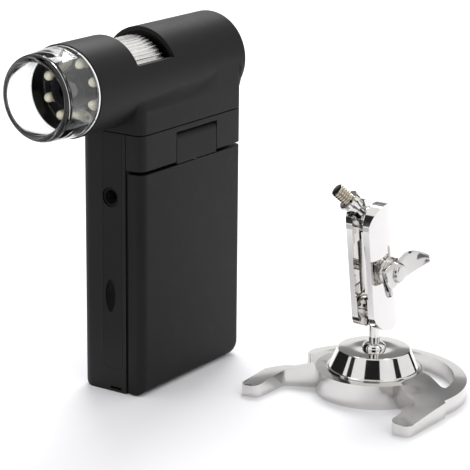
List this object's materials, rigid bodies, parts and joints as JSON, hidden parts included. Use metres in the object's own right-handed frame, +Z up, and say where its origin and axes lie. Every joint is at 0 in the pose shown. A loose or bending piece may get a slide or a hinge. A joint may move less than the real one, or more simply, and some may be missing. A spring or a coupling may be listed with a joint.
{
  "type": "usb digital microscope",
  "caption": "Pocket digital microscope with a flip-up display and a clear hood round its lens, and a polished table stand with a ball clamp and a threaded stud.",
  "frame": {"origin": "middle of the handset's foot, on the table", "axes": "the lens looks along -X, the closed display's back faces -Y, +Z is up"},
  "size_m": [0.1611, 0.166, 0.1655],
  "materials": {
    "housing": "fine matte",
    "trim": "satin",
    "key": "satin",
    "steel": "satin",
    "circuit_board": "lacquered",
    "battery": "sleeve",
    "screen": "glossy",
    "clear": "clear",
    "lamp": "frosted dome",
    "barrel": "matte black",
    "lens": "coated",
    "wheel": "bright",
    "polished": "polished"
  },
  "bodies": {
    "handset": {"rear_shell": "housing", "front_shell": "housing", "head_housing": "housing", "side_inlay": "trim", "tripod_socket": "steel", "card_socket": "steel", "usb_socket": "steel", "main_board": "circuit_board", "battery": "battery", "housing_screws": "steel", "hinge_pin": "steel", "light_board": "circuit_board", "lights": "lamp", "optics_sleeve": "barrel", "sensor_board": "circuit_board", "image_sensor": "screen"},
    "display": {"hinge_arm": "housing", "twist_pin": "steel", "display_cover": "housing", "display_frame": "trim", "screen": "screen"},
    "hood": {"hood": "clear"},
    "focus": {"focus_wheel": "wheel"},
    "lens": {"lens_barrel": "barrel", "front_lens": "lens"},
    "door": {"battery_door": "housing"},
    "stand": {"base_casting": "polished", "base_dome": "polished"},
    "rod": {"ball_rod": "polished", "rod_bead": "polished", "rod_nut": "steel"},
    "clamp": {"clamp_near": "polished", "clamp_far": "polished", "clamp_screw": "polished", "clamp_washer": "steel"},
    "knob": {"wing_knob": "polished"},
    "stud": {"ball_stud": "polished", "threaded_stud": "polished"},
    "lock": {"lock_ring": "polished"},
    "key_ok": {"key_ok": "key"},
    "key_up": {"key_up": "key"},
    "key_down": {"key_down": "key"},
    "key_right": {"key_right": "key"},
    "key_left": {"key_left": "key"},
    "key_capture": {"key_capture": "key"}
  },
  "joints": [
    {"name": "display_flip", "type": "hinge", "parent": "handset", "child": "display", "pos_m": [0.0025, -0.0145, 0.116], "axis": [-1, 0, 0], "range_deg": [0, 95]},
    {"name": "focus_turn", "type": "hinge", "parent": "handset", "child": "focus", "pos_m": [-0.0255, 0.00354, 0.14465], "axis": [1, 0, 0], "range_deg": [-150, 150]},
    {"name": "focus_slide", "type": "slide", "parent": "handset", "child": "lens", "axis": [1, 0, 0], "range_m": [-0.003, 0.003]},
    {"name": "hood_pull", "type": "slide", "parent": "handset", "child": "hood", "axis": [-1, 0, 0], "range_m": [0, 0.03]},
    {"name": "door_pull", "type": "slide", "parent": "handset", "child": "door", "axis": [0, 1, 0], "range_m": [0, 0.02]},
    {"name": "stand_slide", "type": "slide", "parent": "handset", "child": "stand", "axis": [0, -1, 0], "range_m": [0, 0.07]},
    {"name": "rod_turn", "type": "hinge", "parent": "stand", "child": "rod", "pos_m": [0.03265, -0.09655, 0.0207], "axis": [0, 0, 1], "continuous": true},
    {"name": "clamp_tilt", "type": "hinge", "parent": "rod", "child": "clamp", "pos_m": [0.03265, -0.09655, 0.0395], "axis": [0.0314, 0.9995, 0], "range_deg": [-36, 54]},
    {"name": "knob_turn", "type": "hinge", "parent": "clamp", "child": "knob", "pos_m": [0.02912, -0.10674, 0.05975], "axis": [-0.0314, -0.9995, 0], "continuous": true},
    {"name": "stud_tilt", "type": "hinge", "parent": "clamp", "child": "stud", "pos_m": [0.02561, -0.09633, 0.08395], "axis": [0.0314, 0.9995, 0], "range_deg": [-15, 15]},
    {"name": "lock_turn", "type": "hinge", "parent": "stud", "child": "lock", "pos_m": [0.018, -0.09062, 0.09236], "axis": [-0.5994, 0.4496, 0.6623], "continuous": true},
    {"name": "press_ok", "type": "slide", "parent": "handset", "child": "key_ok", "axis": [0, 1, 0], "range_m": [0, 0.0006], "stiffness_N_per_m": 400},
    {"name": "press_up", "type": "slide", "parent": "handset", "child": "key_up", "axis": [0, 1, 0], "range_m": [0, 0.0006], "stiffness_N_per_m": 400},
    {"name": "press_down", "type": "slide", "parent": "handset", "child": "key_down", "axis": [0, 1, 0], "range_m": [0, 0.0006], "stiffness_N_per_m": 400},
    {"name": "press_right", "type": "slide", "parent": "handset", "child": "key_right", "axis": [0, 1, 0], "range_m": [0, 0.0006], "stiffness_N_per_m": 400},
    {"name": "press_left", "type": "slide", "parent": "handset", "child": "key_left", "axis": [0, 1, 0], "range_m": [0, 0.0006], "stiffness_N_per_m": 400},
    {"name": "press_capture", "type": "slide", "parent": "handset", "child": "key_capture", "axis": [0, 1, 0], "range_m": [0, 0.0006], "stiffness_N_per_m": 400}
  ],
  "couplings": [
    {"joint": "focus_slide", "follows": "focus_turn", "m_per_rad": 0.001145},
    {"joint": "stand_slide", "follows": "display_flip", "m_per_rad": 0.042}
  ]
}
